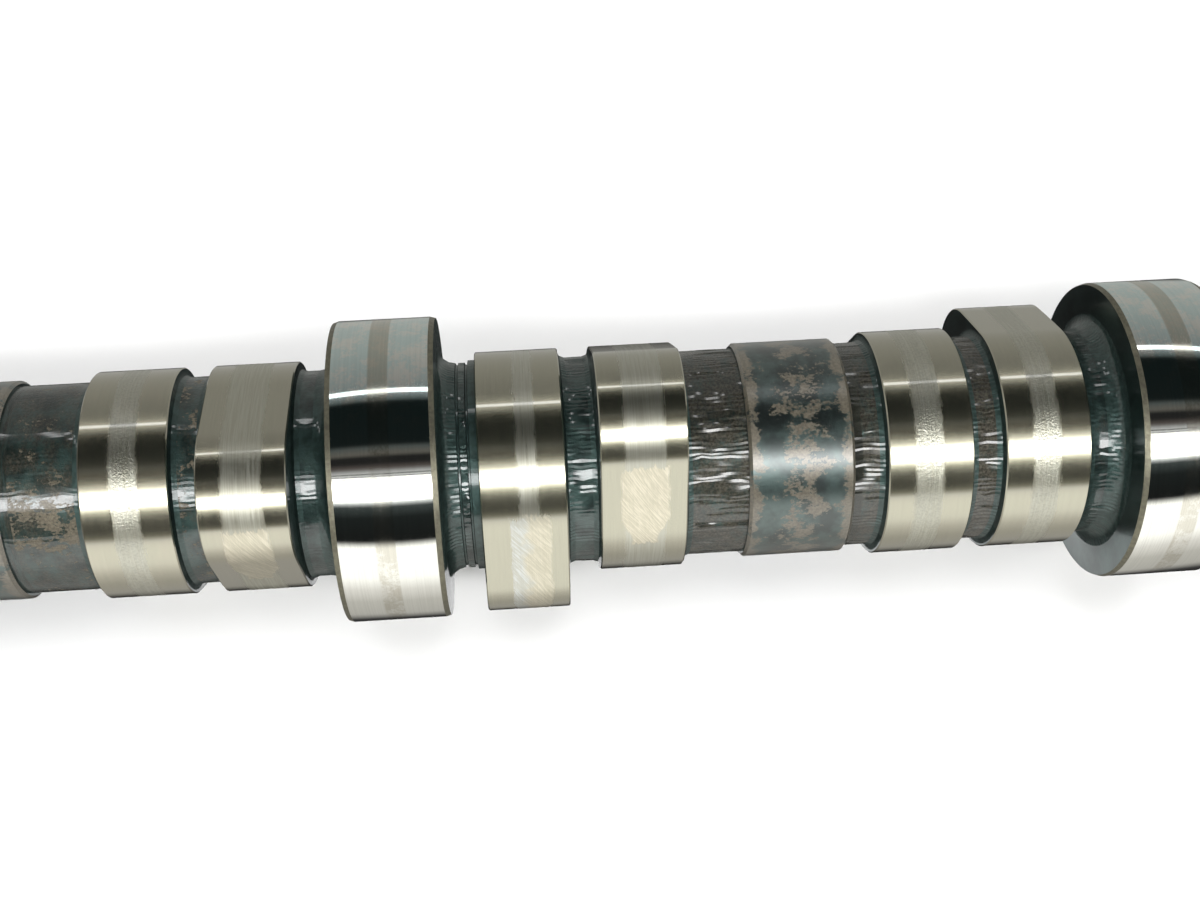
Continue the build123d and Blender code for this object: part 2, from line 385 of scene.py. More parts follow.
def lobe_radii(sizes, turns):
    """Distance from the axis to a lobe's outline at each angle from its nose."""
    base, nose, flank = sizes.base_circle_radius, sizes.nose_radius, sizes.flank_radius
    nose_centre = base + sizes.lobe_lift - nose
    base_reach, nose_reach = flank - base, flank - nose
    along = (base_reach**2 - nose_reach**2 + nose_centre**2) / (2 * nose_centre)
    across = -math.sqrt(base_reach**2 - along**2)
    base_tangent = math.atan2(-across, -along)
    nose_turn = math.atan2(-across, nose_centre - along)
    nose_tangent = math.atan2(nose * math.sin(nose_turn), nose_centre + nose * math.cos(nose_turn))

    turns = np.abs((turns + math.pi) % (2 * math.pi) - math.pi)
    cosines, sines = np.cos(turns), np.sin(turns)
    reach = along * cosines + across * sines
    on_flank = reach + np.sqrt(reach**2 - along**2 - across**2 + flank**2)
    under_nose = np.minimum((nose_centre * sines) ** 2, nose**2)
    on_nose = nose_centre * cosines + np.sqrt(nose**2 - under_nose)
    radii = np.where(turns < nose_tangent, on_nose, on_flank)
    return np.where(turns > base_tangent, base, radii)


def smooth_noise(generator, rows, columns):
    """Soft random values from -1 to 1 on a grid that wraps round its columns."""
    grid = np.array([[generator.uniform(-1, 1) for _ in range(columns)] for _ in range(rows)])
    for _ in range(2):
        grid = (grid + np.roll(grid, 1, 1) + np.roll(grid, -1, 1)) / 2
    return np.clip(grid, -1, 1)


class Skin:
    """Rings round the shaft, from its rear to its front, joined into one closed mesh."""

    def __init__(self, segments):
        self.angles = np.arange(segments) * 2 * math.pi / segments
        self.rings, self.finishes = [], []
        self.values = {PLACE: [], TRACK: [], MARKS: [], PATCH: []}

    def wear(self, nose=0.0, track=(0.0, 0.0, 0.0), marks=(0.0, 0.0, 0.0), patch=(0.0, 0.1, 0.0)):
        """Sets the wear of the rings that follow."""
        self.nose, self.wears = nose, {TRACK: track, MARKS: marks, PATCH: patch}

    def ring(self, x, radius, finish, across=0.0, shift=0.0):
        """Adds a ring. The finish is that of the strip between it and the ring before it."""
        radii = np.broadcast_to(np.asarray(radius, float), self.angles.shape)
        places = self.angles + shift
        points = np.stack([np.full_like(radii, x), radii * np.sin(places), radii * np.cos(places)], 1)
        turns = self.angles - self.nose
        self.rings.append(points)
        self.finishes.append(finish)
        self.values[PLACE].append(np.stack([np.full_like(turns, across), np.cos(turns), np.sin(turns)], 1))
        for key, values in self.wears.items():
            self.values[key].append(np.tile(values, (len(turns), 1)))

    def mesh(self, name):
        """The closed mesh, with a point in the middle of each end."""
        segments = len(self.angles)
        points = np.concatenate(self.rings)
        ends = np.array([[self.rings[0][0, 0], 0, 0], [self.rings[-1][0, 0], 0, 0]])
        points = np.concatenate([points, ends])
        faces, finishes = [], []
        here = np.arange(segments)
        after = np.roll(here, -1)
        for row in range(1, len(self.rings)):
            low, high = (row - 1) * segments, row * segments
            quads = np.stack([low + here, high + here, high + after, low + after], 1)
            faces.extend(quads.tolist())
            finishes.extend([self.finishes[row]] * segments)
        rear, front = len(points) - 2, len(points) - 1
        last = (len(self.rings) - 1) * segments
        faces.extend([rear, int(a), int(b)] for a, b in zip(here, after))
        faces.extend([front, int(last + b), int(last + a)] for a, b in zip(here, after))
        finishes.extend([self.finishes[0]] * segments + [self.finishes[-1]] * segments)

        mesh = bpy.data.meshes.new(name)
        mesh.from_pydata(points.tolist(), [], faces)
        mesh.polygons.foreach_set("material_index", finishes)
        mesh.update()
        return mesh

    def write_values(self, mesh):
        """Gives each point of the cut mesh the values of the ring point nearest to it."""
        points = np.concatenate(self.rings)
        tree = KDTree(len(points))
        for index, point in enumerate(points):
            tree.insert(point, index)
        tree.balance()
        nearest = [tree.find(point.co)[1] for point in mesh.vertices]
        for key, rows in self.values.items():
            values = np.concatenate(rows)[nearest].astype(np.float32)
            mesh.attributes.new(key, "FLOAT_VECTOR", "POINT").data.foreach_set("vector", values.ravel())


def ridge_sides(skin, sizes, strength, drift):
    """Height of the ridged shaft over its mean radius, at each turn."""
    sides = np.where(np.arange(len(skin.angles)) % 2 == 0, 0.5, -0.5) * sizes.ridge_height * strength
    return sides * (RIDGE_SHARE + RIDGE_DRIFT * drift)


def raw_shaft(skin, sizes, low, high, strength, generator):
    """Rings of raw shaft between two roots. Its ridges drift, wander and break along the way."""
    segments = len(skin.angles)
    steps = max(2, round((high - low) / RAW_STEP))
    drift, wander = smooth_noise(generator, 2, segments)
    fresh_share = math.sqrt(1 - RIDGE_MEMORY ** 2)
    for step in range(1, steps):
        fresh, fresh_wander = smooth_noise(generator, 2, segments)
        drift = drift * RIDGE_MEMORY + fresh * fresh_share
        wander = wander * RIDGE_MEMORY + fresh_wander * fresh_share
        skin.ring(low + (high - low) * step / steps,
                  sizes.shaft_radius + ridge_sides(skin, sizes, strength, drift), CASTING,
                  shift=wander * RIDGE_WANDER * math.pi / sizes.ridge_count)
    skin.ring(high, sizes.shaft_radius + ridge_sides(skin, sizes, strength, drift), CASTING)


def groove_rings(skin, sizes, rear, waves):
    """Rings of a thin groove in the ridged shaft, from its rear edge."""
    bottom, quarter = sizes.shaft_radius - sizes.groove_depth, sizes.groove_width / 4
    skin.ring(rear, sizes.shaft_radius + waves, ROOT)
    skin.ring(rear + quarter, bottom, ROOT)
    skin.ring(rear + 3 * quarter, bottom, ROOT)
    skin.ring(rear + sizes.groove_width, sizes.shaft_radius + waves, ROOT)


def root_rings(skin, sizes, face, outward, root, waves):
    """Rings of a rounded root, in the order from the rear. Outward is the way it runs off the face.
    Waves are the heights of the shaft's ridges, which fade out up the root."""
    steps = math.ceil(root / ROOT_STEP)
    turns = [math.pi / 2 * step / steps for step in range(steps + 1)]
    rings = [(face + outward * root * (1 - math.sin(turn)),
              sizes.shaft_radius + root * (1 - math.cos(turn)) + waves * math.cos(turn)) for turn in turns]
    for x, radius in rings[1:] if outward < 0 else rings[::-1]:
        skin.ring(x, radius, ROOT)


def lobe_rings(skin, sizes, centre, nose):
    """Rings of one lobe's faces, edges and land."""
    half, edge = sizes.lobe_width / 2, sizes.lobe_edge
    outline = lobe_radii(sizes, skin.angles - nose)
    skin.ring(centre - half, outline - edge, FACE, -1)
    skin.ring(centre - half + edge, outline, LOBE, -1)
    skin.ring(centre + half - edge, outline, LOBE, 1)
    skin.ring(centre + half, outline - edge, LOBE, 1)


def journal_rings(skin, sizes, centre, rear_finish, generator):
    """Rings of one journal's rims and land. The rear finish is that of its rear face."""
    half, width = sizes.journal_width / 2, sizes.journal_rim_width
    rim = sizes.journal_radius - sizes.journal_rim_drop
    skin.wear(track=JOURNAL_TRACK, marks=(generator.uniform(*SEED_RANGE), 0.0, 0.0))
    skin.ring(centre - half, rim, rear_finish, -1)
    skin.ring(centre - half + width, sizes.journal_radius, RIM, -1)
    skin.ring(centre + half - width, sizes.journal_radius, JOURNAL, 1)
    skin.ring(centre + half, rim, RIM, 1)


def collar_rings(skin, sizes, centre, waves):
    """Rings of one plain collar, which stands square on the shaft."""
    half, rim = sizes.collar_width / 2, sizes.collar_rim
    skin.ring(centre - half, sizes.collar_radius - rim, ROOT, -1)
    skin.ring(centre - half + rim, sizes.collar_radius, COLLAR, -1)
    skin.ring(centre, sizes.collar_radius, COLLAR, 0)
    skin.ring(centre + half - rim, sizes.collar_radius, COLLAR, 1)
    skin.ring(centre + half, sizes.collar_radius - rim, COLLAR, 1)
    skin.ring(centre + half, sizes.shaft_radius + waves, ROOT)


def shoulder_rings(skin, sizes, front):
    """Rings of the step that ends at the rear face of a bay's first lobe."""
    low, top = front - sizes.shoulder_width, sizes.shaft_radius + sizes.shoulder_height
    skin.ring(low, top, ROOT)
    skin.ring(front, top, ROOT)


def lobe_wear(name, generator):
    """Track, marks and patch of a lobe."""
    drawn = [generator.uniform(*limits) for limits in WEAR_RANGES]
    drawn_patch = (generator.choice((-1, 1)) * generator.uniform(*PATCH_TURNS), *DRAWN_PATCH)
    seed = generator.uniform(*SEED_RANGE)
    centre, half, dull, patch, stain = LOBE_WEAR.get(name, drawn)
    turn, half_turn, half_width = LOBE_PATCHES.get(name, drawn_patch)
    spot = (math.radians(turn), math.radians(half_turn), half_width)
    return (centre, half, dull), (seed, patch, stain), spot


def shaft_wear(bay, gap, generator):
    """Marks and flaked patch of the raw shaft in one gap of a bay."""
    drawn = [generator.uniform(*limits) for limits in (FILM_RANGE, FLAKE_RANGE)]
    turn, half_turn, added = SHAFT_PATCHES.get((bay, gap), (0.0, 1.0, 0.0))
    return {"marks": (generator.uniform(*SEED_RANGE), *SHAFT_WEAR.get((bay, gap), drawn)),
            "patch": (math.radians(turn), math.radians(half_turn), added)}


def hole_rings(skin, face, inward, radius, sink, depth):
    """Rings of a countersunk hole, from its bottom out to the rear face or from the front face in."""
    sink_depth = (sink - radius) / math.tan(SINK_HALF_ANGLE)
    rings = [(face + inward * depth, radius), (face + inward * sink_depth, radius), (face, sink)]
    for x, ring_radius in rings if inward > 0 else rings[::-1]:
        skin.ring(x, ring_radius, END)


def gear_seat_rings(skin, sizes):
    """Rings of the thrust face, the gear seat and the bolt hole in its end."""
    thrust = sizes.journal_width / 2
    front = thrust + sizes.seat_length
    skin.wear()
    for step in range(SEAT_ROOT_STEPS + 1):
        turn = math.pi / 2 * step / SEAT_ROOT_STEPS
        skin.ring(thrust + sizes.seat_root * (1 - math.cos(turn)),
                  sizes.seat_radius + sizes.seat_root * (1 - math.sin(turn)), END)
    skin.ring(front - sizes.seat_lead_in, sizes.seat_radius, END)
    skin.ring(front, sizes.seat_radius - sizes.seat_lead_in, END)
    hole_rings(skin, front, -1, sizes.bolt_hole_radius, sizes.bolt_hole_sink, sizes.bolt_hole_depth)


def bay_rings(skin, sizes, bay, centre, generator):
    """Rings of one bay: roots, raw shaft, four lobes and a collar."""
    strength = RIDGE_STRENGTH[bay]
    half_lobe, half_collar = sizes.lobe_width / 2, sizes.collar_width / 2
    rear_journal = centre - sizes.journal_pitch / 2 + sizes.journal_width / 2
    front_journal = centre + sizes.journal_pitch / 2 - sizes.journal_width / 2
    collar = centre + (sizes.rear_collar_offset if bay == 0 else sizes.collar_offset)
    lobes = bay_lobes(sizes, bay, centre)
    gaps = [shaft_wear(bay, gap, generator) for gap in range(len(lobes) + 2)]

    skin.wear(**gaps[0])
    waves = ridge_sides(skin, sizes, strength, smooth_noise(generator, 1, len(skin.angles))[0])
    root_rings(skin, sizes, rear_journal, 1, sizes.journal_root, waves)
    groove_rings(skin, sizes, rear_journal + sizes.journal_root, waves)
    low = rear_journal + sizes.journal_root + sizes.groove_width
    for index, (place, nose, name) in enumerate(lobes):
        rear, front = place - half_lobe, place + half_lobe
        if index == 2:
            skin.wear(**gaps[2])
            raw_shaft(skin, sizes, low, collar - half_collar, strength, generator)
            collar_rings(skin, sizes, collar, waves)
            low = collar + half_collar
        skin.wear(**gaps[index + (index > 1)])
        foot = rear - (sizes.shoulder_width + sizes.groove_width if index == 0 else sizes.lobe_root)
        raw_shaft(skin, sizes, low, foot, strength, generator)
        if index == 0:
            groove_rings(skin, sizes, foot, waves)
            shoulder_rings(skin, sizes, rear)
        else:
            root_rings(skin, sizes, rear, -1, sizes.lobe_root, waves)
        skin.wear(nose, *lobe_wear(name, generator))
        lobe_rings(skin, sizes, place, nose)
        skin.wear(**gaps[index + 1 + (index > 1)])
        root_rings(skin, sizes, front, 1, sizes.lobe_root, waves)
        low = front + sizes.lobe_root
    raw_shaft(skin, sizes, low, front_journal - sizes.journal_root, strength, generator)
    root_rings(skin, sizes, front_journal, -1, sizes.journal_root, waves)


def key_slot_cutter(sizes):
    """A bar as wide as the key slot, round at its rear and open past the front end."""
    half = sizes.key_width / 2
    front = sizes.journal_width / 2 + sizes.seat_length
    centre = front - sizes.key_length + half
    floor, top = sizes.seat_radius - sizes.key_depth, sizes.seat_radius + sizes.key_depth
    outline = [(front + half, -half), (front + half, half)]
    for step in range(KEY_END_STEPS + 1):
        turn = math.pi / 2 + math.pi * step / KEY_END_STEPS
        outline.append((centre + half * math.cos(turn), half * math.sin(turn)))
    count = len(outline)
    points = [(x, y, z) for z in (floor, top) for x, y in outline]
    faces = [tuple(range(count))[::-1], tuple(range(count, 2 * count))]
    faces += [(i, (i + 1) % count, count + (i + 1) % count, count + i) for i in range(count)]
    mesh = bpy.data.meshes.new("key_slot_cutter")
    mesh.from_pydata(points, [], faces)
    mesh.polygons.foreach_set("material_index", [END] * len(faces))
    return mesh


def cut_key_slot(context, shaft, sizes):
    """Cuts the key slot into the gear seat."""
    mesh = key_slot_cutter(sizes)
    for material in shaft.data.materials:
        mesh.materials.append(material)
    cutter = bpy.data.objects.new("key_slot_cutter", mesh)
    context.scene.collection.objects.link(cutter)
    cut = shaft.modifiers.new("key_slot", "BOOLEAN")
    cut.operation, cut.solver, cut.object = "DIFFERENCE", "EXACT", cutter
    context.view_layer.update()
    uncut = shaft.data
    shaft.data = bpy.data.meshes.new_from_object(shaft.evaluated_get(context.evaluated_depsgraph_get()))
    shaft.modifiers.clear()
    shaft.data.name = uncut.name
    bpy.data.meshes.remove(uncut)
    bpy.data.objects.remove(cutter)
    bpy.data.meshes.remove(mesh)


def finish_shading(mesh):
    """Smooth shading between sharp edges. The lines along the ridges of the casting are sharp too."""
    mesh.shade_smooth()
    mesh.set_sharp_from_angle(angle=SHARP_ANGLE)
    raw = {key for polygon in mesh.polygons if polygon.material_index in (CASTING, ROOT)
           for key in polygon.edge_keys}
    for edge in mesh.edges:
        first, last = (mesh.vertices[end].co for end in edge.vertices)
        if edge.key in raw and abs(last.x - first.x) > RIDGE_LINE * (last - first).length:
            edge.use_edge_sharp = True


class CAMSHAFT_OT_build_shaft(bpy.types.Operator):
    """Builds the shaft's skin, with its journals, lobes, collars and raw casting"""

    bl_idname = "camshaft.build_shaft"
    bl_label = "Build shaft"

    def execute(self, context):
        sizes = context.scene.camshaft_sizes
        generator = random.Random(SEED)
        skin = Skin(2 * sizes.ridge_count)
        half_journal = sizes.journal_width / 2
        rear_face = -BAY_COUNT * sizes.journal_pitch - half_journal

        skin.wear()
        hole_rings(skin, rear_face, 1, sizes.centre_hole_radius, sizes.centre_hole_sink,
                   sizes.centre_hole_depth)
        journal_rings(skin, sizes, rear_face + half_journal, END, generator)
        for bay, centre in enumerate(bay_centres(sizes)):
            bay_rings(skin, sizes, bay, centre, generator)
            journal_rings(skin, sizes, centre + sizes.journal_pitch / 2, FACE, generator)
        gear_seat_rings(skin, sizes)

        shaft = bpy.data.objects.new("camshaft_skin", skin.mesh("camshaft_skin"))
        context.scene.collection.objects.link(shaft)
        for material in make_finishes(context.scene.camshaft_finish):
            shaft.data.materials.append(material)
        cut_key_slot(context, shaft, sizes)
        skin.write_values(shaft.data)
        finish_shading(shaft.data)
        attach(shaft, BODY)
        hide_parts(CAD_NODE)
        return {"FINISHED"}


# ---------------------------------------------------------------- finishes


class Nodes:
    """A node tree with short calls for the nodes that the finishes use."""

    def __init__(self, tree):
        self.tree = tree
        tree.nodes.clear()

    def add(self, kind, inputs=None, **settings):
        """Adds a node, sets it and feeds its inputs with sockets or plain values."""
        node = self.tree.nodes.new(kind)
        for key, value in settings.items():
            setattr(node, key, value)
        for key, value in (inputs or {}).items():
            self.feed(node.inputs[key], value)
        return node

    def feed(self, socket, value):
        """Feeds an input with another node's socket, a number or a colour."""
        if isinstance(value, bpy.types.NodeSocket):
            self.tree.links.new(value, socket)
        elif socket.type == "RGBA":
            socket.default_value = (*value, 1.0)[:4]
        else:
            socket.default_value = value

    def math(self, operation, *values):
        """The result of a Math node."""
        return self.add("ShaderNodeMath", dict(enumerate(values)), operation=operation).outputs[0]

    def vector(self, operation, *values):
        """The result of a Vector Math node that gives a vector."""
        return self.add("ShaderNodeVectorMath", dict(enumerate(values)), operation=operation).outputs[0]

    def scaled(self, vector, factor):
        """A vector or a colour times a number."""
        node = self.add("ShaderNodeVectorMath", {0: vector, "Scale": factor}, operation="SCALE")
        return node.outputs[0]

    def split(self, vector):
        """The three parts of a vector."""
        return self.add("ShaderNodeSeparateXYZ", {0: vector}).outputs

    def join(self, x, y, z):
        """A vector from its three parts."""
        return self.add("ShaderNodeCombineXYZ", {0: x, 1: y, 2: z}).outputs[0]

    def between(self, value, first, last):
        """A number that runs from first to last as the value runs from 0 to 1."""
        return self.math("MULTIPLY_ADD", value, last - first, first)

    def step(self, value, low, high, first=0.0, last=1.0):
        """A smooth step from first to last as the value goes from low to high."""
        return self.add("ShaderNodeMapRange", {0: value, 1: low, 2: high, 3: first, 4: last},
                        interpolation_type="SMOOTHSTEP").outputs[0]

    def blend(self, factor, first, second):
        """A mix of two colours."""
        node = self.add("ShaderNodeMix", {"Factor": factor}, data_type="RGBA")
        self.feed(node.inputs[6], first)
        self.feed(node.inputs[7], second)
        return node.outputs[2]

    def noise(self, vector, scale=1.0, detail=3.0, roughness=0.6):
        """The value of a noise texture."""
        return self.add("ShaderNodeTexNoise", {"Vector": vector, "Scale": scale, "Detail": detail,
                                               "Roughness": roughness}).outputs[0]

    def group(self, name, **inputs):
        """The outputs of a node group, with its named inputs fed."""
        node = self.add("ShaderNodeGroup", node_tree=bpy.data.node_groups[name])
        for key, value in inputs.items():
            self.feed(node.inputs[key.replace("_", " ").capitalize()], value)
        return node.outputs


def start_group(name, inputs, outputs):
    """A new node group with float inputs and their defaults, and float outputs."""
    tree = bpy.data.node_groups.new(name, "ShaderNodeTree")
    for title, default in inputs.items():
        socket = tree.interface.new_socket(title, in_out="INPUT", socket_type="NodeSocketFloat")
        socket.default_value = default
    for title in outputs:
        tree.interface.new_socket(title, in_out="OUTPUT", socket_type="NodeSocketFloat")
    nodes = Nodes(tree)
    return nodes, nodes.add("NodeGroupInput").outputs


def end_group(nodes, **results):
    """Feeds a group's outputs."""
    output = nodes.add("NodeGroupOutput")
    for key, value in results.items():
        nodes.tree.links.new(value, output.inputs[key.capitalize()])


SEED_SPACING = 17.0                         # millimetres by which one step of the seed moves a texture


def surface_place(nodes, seed):
    """Object coordinates in millimetres, moved by the seed so that no two features match."""
    place = nodes.scaled(nodes.add("ShaderNodeTexCoord").outputs["Object"], 1 / MM)
    return nodes.vector("ADD", place, nodes.join(nodes.math("MULTIPLY", seed, SEED_SPACING), seed, 0.0))


# Where the noise of a line or a scratch starts to show, and where it is full
LINE_EDGE, SCRATCH_EDGE = (0.3, 0.7), (0.4, 0.66)
LAND_RADIUS = 23.0                          # mean radius of a lobe in millimetres, for scratches
SCRATCH_SLANT = math.radians(32.0)


def make_grinding_group():
    """Fine lines that run round the shaft, as a wheel leaves them."""
    nodes, given = start_group("Grinding lines", {"Line width": 0.12, "Line length": 6.0, "Seed": 0.0},
                               ["Lines"])
    place = nodes.split(surface_place(nodes, given["Seed"]))
    across = nodes.math("DIVIDE", place[0], given["Line width"])
    around = [nodes.math("DIVIDE", part, given["Line length"]) for part in place[1:]]
    end_group(nodes, lines=nodes.step(nodes.noise(nodes.join(across, *around)), *LINE_EDGE))


def make_scratch_group():
    """Scratches that cross the grinding lines at a slant, in radians."""
    nodes, given = start_group("Scratches", {"Turn": 0.0, "Slant": 0.6, "Line width": 0.2,
                                             "Line length": 5.0, "Seed": 0.0}, ["Lines"])
    place = nodes.split(surface_place(nodes, given["Seed"]))
    around = nodes.math("MULTIPLY", given["Turn"], LAND_RADIUS)
    cosine, sine = (nodes.math(name, given["Slant"]) for name in ("COSINE", "SINE"))
    across = nodes.math("MULTIPLY_ADD", place[0], cosine, nodes.math("MULTIPLY", around, sine))
    along = nodes.math("SUBTRACT", nodes.math("MULTIPLY", around, cosine),
                       nodes.math("MULTIPLY", place[0], sine))
    value = nodes.noise(nodes.join(nodes.math("DIVIDE", across, given["Line width"]),
                                   nodes.math("DIVIDE", along, given["Line length"]), given["Seed"]),
                        roughness=0.65)
    end_group(nodes, lines=nodes.step(value, *SCRATCH_EDGE))


NOISE_MIDDLE = 0.5
WEAR_RAGGEDNESS = 0.2                       # how far the edge of wear wanders, in half widths
PATCH_RAGGED = 2.0                          # how much more ragged a patch is than a track
RAGGED_GRAIN = (1.3, 0.3, 0.3)              # grains in a millimetre of the ragged edge of wear
TRACK_EDGE, PATCH_EDGE = (-0.05, 0.08), (-0.02, 0.05)
# A patch narrows to a share of its width between two places on its way round the lobe
PATCH_TAPER, PATCH_NARROW = (-0.85, -0.2), 0.55


def make_track_group():
    """The band that a lifter wears on a lobe, and the scuffed patch on its flank, with ragged edges."""
    nodes, given = start_group("Wear track", {
        "Across": 0.0, "Turn": 0.0, "Centre": 0.0, "Half width": 0.3, "Patch turn": 0.0,
        "Patch half turn": 0.4, "Patch half width": 0.5, "Ragged": 0.1, "Seed": 0.0}, ["Track", "Patch"])
    place = surface_place(nodes, given["Seed"])
    rough = nodes.noise(nodes.vector("MULTIPLY", place, RAGGED_GRAIN), detail=4.0, roughness=0.65)
    wander = nodes.math("MULTIPLY", nodes.math("SUBTRACT", rough, NOISE_MIDDLE), given["Ragged"])
    away = nodes.math("ABSOLUTE", nodes.math("SUBTRACT", given["Across"], given["Centre"]))
    away = nodes.math("ADD", away, wander)
    around = nodes.math("DIVIDE", nodes.math("SUBTRACT", given["Turn"], given["Patch turn"]),
                        given["Patch half turn"])
    narrowing = nodes.step(around, *PATCH_TAPER, PATCH_NARROW, 1.0)
    around = nodes.math("ABSOLUTE", around)
    reach = nodes.math("MULTIPLY", given["Patch half width"], narrowing)
    inside = nodes.math("MINIMUM", nodes.math("SUBTRACT", reach, away),
                        nodes.math("SUBTRACT", 1.0, around))
    inside = nodes.math("MULTIPLY_ADD", wander, PATCH_RAGGED, inside)
    end_group(nodes, track=nodes.step(nodes.math("SUBTRACT", given["Half width"], away), *TRACK_EDGE),
              patch=nodes.step(inside, *PATCH_EDGE))


FLAKE_FINENESS = 6.0                        # how much finer the ragged edges are than the flakes
FLAKE_EDGE_SHARE = 0.42                     # share of the ragged edges in the flakes' noise


def make_flake_group():
    """Flakes and patches of baked film with crisp, ragged edges."""
    nodes, given = start_group("Flakes", {"Size": 3.0, "Cover": 0.5, "Stretch": 1.6, "Softness": 0.03,
                                          "Seed": 0.0}, ["Flakes"])
    place = nodes.vector("DIVIDE", surface_place(nodes, given["Seed"]),
                         nodes.join(nodes.math("MULTIPLY", given["Size"], given["Stretch"]),
                                    given["Size"], given["Size"]))
    coarse = nodes.noise(place)
    fine = nodes.noise(place, scale=FLAKE_FINENESS, detail=5.0, roughness=0.7)
    value = nodes.math("MULTIPLY_ADD", fine, FLAKE_EDGE_SHARE,
                       nodes.math("MULTIPLY", coarse, 1.0 - FLAKE_EDGE_SHARE))
    above = nodes.math("ADD", nodes.math("SUBTRACT", value, 1.0), given["Cover"])
    low = nodes.math("MULTIPLY", given["Softness"], -1.0)
    end_group(nodes, flakes=nodes.step(above, low, given["Softness"]))


def make_grain_group():
    """Fine uneven grain of a surface that was never ground."""
    nodes, given = start_group("Grain", {"Size": 0.4, "Seed": 0.0}, ["Height"])
    place = nodes.vector("DIVIDE", surface_place(nodes, given["Seed"]),
                         nodes.join(given["Size"], given["Size"], given["Size"]))
    end_group(nodes, height=nodes.noise(place))


def start_finish(name):
    """A new material: its nodes and the shader that gives its surface."""
    material = bpy.data.materials.new(name)
    material.use_nodes = True
    nodes = Nodes(material.node_tree)
    shader = nodes.add("ShaderNodeBsdfPrincipled")
    output = nodes.add("ShaderNodeOutputMaterial")
    nodes.tree.links.new(shader.outputs[0], output.inputs["Surface"])
    return material, nodes, shader


def set_surface(nodes, shader, **inputs):
    """Feeds the shader's inputs with sockets or plain values."""
    for key, value in inputs.items():
        nodes.feed(shader.inputs[key.replace("_", " ").title().replace("Ior", "IOR")], value)


def read_vector(nodes, key):
    """The three parts of a vertex attribute."""
    return nodes.split(nodes.add("ShaderNodeAttribute", attribute_name=key).outputs["Vector"])


def raised(nodes, height, distance, normal=None):
    """The normal of a surface that the height lifts by up to a distance in metres."""
    inputs = {"Height": height, "Distance": distance, "Strength": 1.0}
    if normal is not None:
        inputs["Normal"] = normal
    return nodes.add("ShaderNodeBump", inputs).outputs[0]


def darker(colour, share):
    """A colour at a share of its light."""
    return [part * share for part in colour]


LINE_SHADES = (0.94, 1.02)                  # how dark and how bright grinding lines make ground steel
LOBE_ROUGHNESS = (0.22, 0.25)               # between and on the grinding lines
TRACK_DULLING = (0.04, 0.20)                # roughness that wear adds, on a bright and on a dull track
SCUFF_DULLING = 0.08
PIT_SHADE, PIT_DEPTH = 0.88, 0.08 * MM
SCRATCH_DEPTH = 0.012 * MM
TRACK_TINT, STAIN_TINT = 0.6, 0.5           # how strongly wear and brown film colour the steel
LINE_COVER = (0.5, 1.0)                     # cover of wear and scuffing between and on their lines
PITTED_BELOW = (0.1, 0.6)                   # a lobe with a scuffed patch has a track without pits
COOL_HALF_TURN = (0.5, 0.6)                 # half turn in radians that makes a patch a long one
COOL_SIDE, COOL_SLOPE = (0.35, 0.6), 0.8    # where a long patch turns cool, across the lobe
LOBE_SHINE = {"coat_roughness": 0.06, "coat_ior": 2.2}


